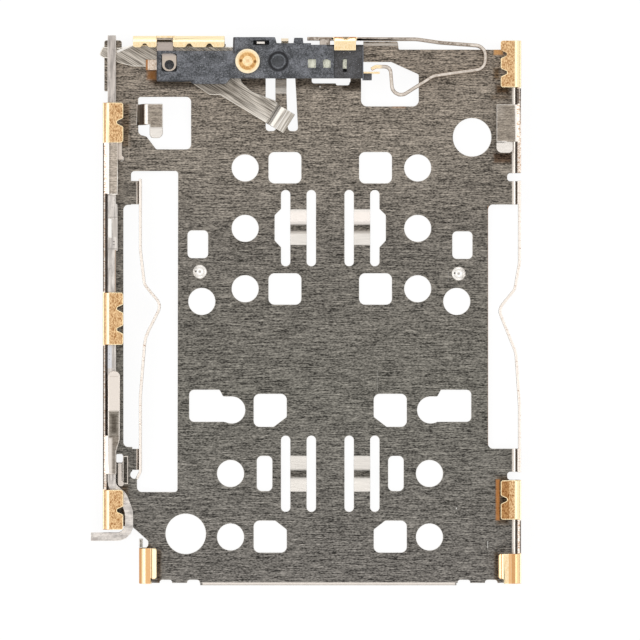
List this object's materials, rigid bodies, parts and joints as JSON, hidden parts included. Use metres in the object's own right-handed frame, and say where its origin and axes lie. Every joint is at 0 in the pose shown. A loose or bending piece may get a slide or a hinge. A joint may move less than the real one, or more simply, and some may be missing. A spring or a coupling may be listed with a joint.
{
  "type": "sim card reader",
  "caption": "Flat stamped steel reader for a phone's card tray, with a push-rod tray ejector, a pivoting lever, a moulded insulator and a spring tray switch.",
  "frame": {"origin": "Middle of the roof plate's outer face, the face that the part lies on", "axes": "+X to the right in the picture, +Y from the tray mouth to the back wall, +Z from the roof to the solder feet"},
  "size_m": [0.0179, 0.023, 0.0014],
  "materials": {
    "shell_steel": "brushed, warm grey, plated gold on the solder feet",
    "black_plastic": "moulded, finely speckled",
    "rod_steel": "sheared edge, pale grey",
    "lever_steel": "brushed along the arm",
    "gold_plate": "thin gold plating",
    "spring_steel": "bright strip, plated gold at its tail and tip"
  },
  "bodies": {
    "root": {"shell": "shell_steel", "housing": "black_plastic", "lever_pivot": "gold_plate", "switch_spring": "spring_steel", "switch_contact": "gold_plate"},
    "rod": {"eject_rod": "rod_steel"},
    "lever": {"eject_lever": "lever_steel"}
  },
  "joints": [
    {"name": "rod_slide", "type": "slide", "parent": "root", "child": "rod", "axis": [0, -1, 0], "range_m": [0, 0.0013]},
    {"name": "lever_swing", "type": "hinge", "parent": "root", "child": "lever", "pos_m": [-0.00268, 0.0104, 0.0004], "axis": [0, 0, 1], "range_deg": [0, 13.4]}
  ],
  "couplings": [
    {"joint": "lever_swing", "follows": "rod_slide", "rad_per_m": 178.2}
  ]
}
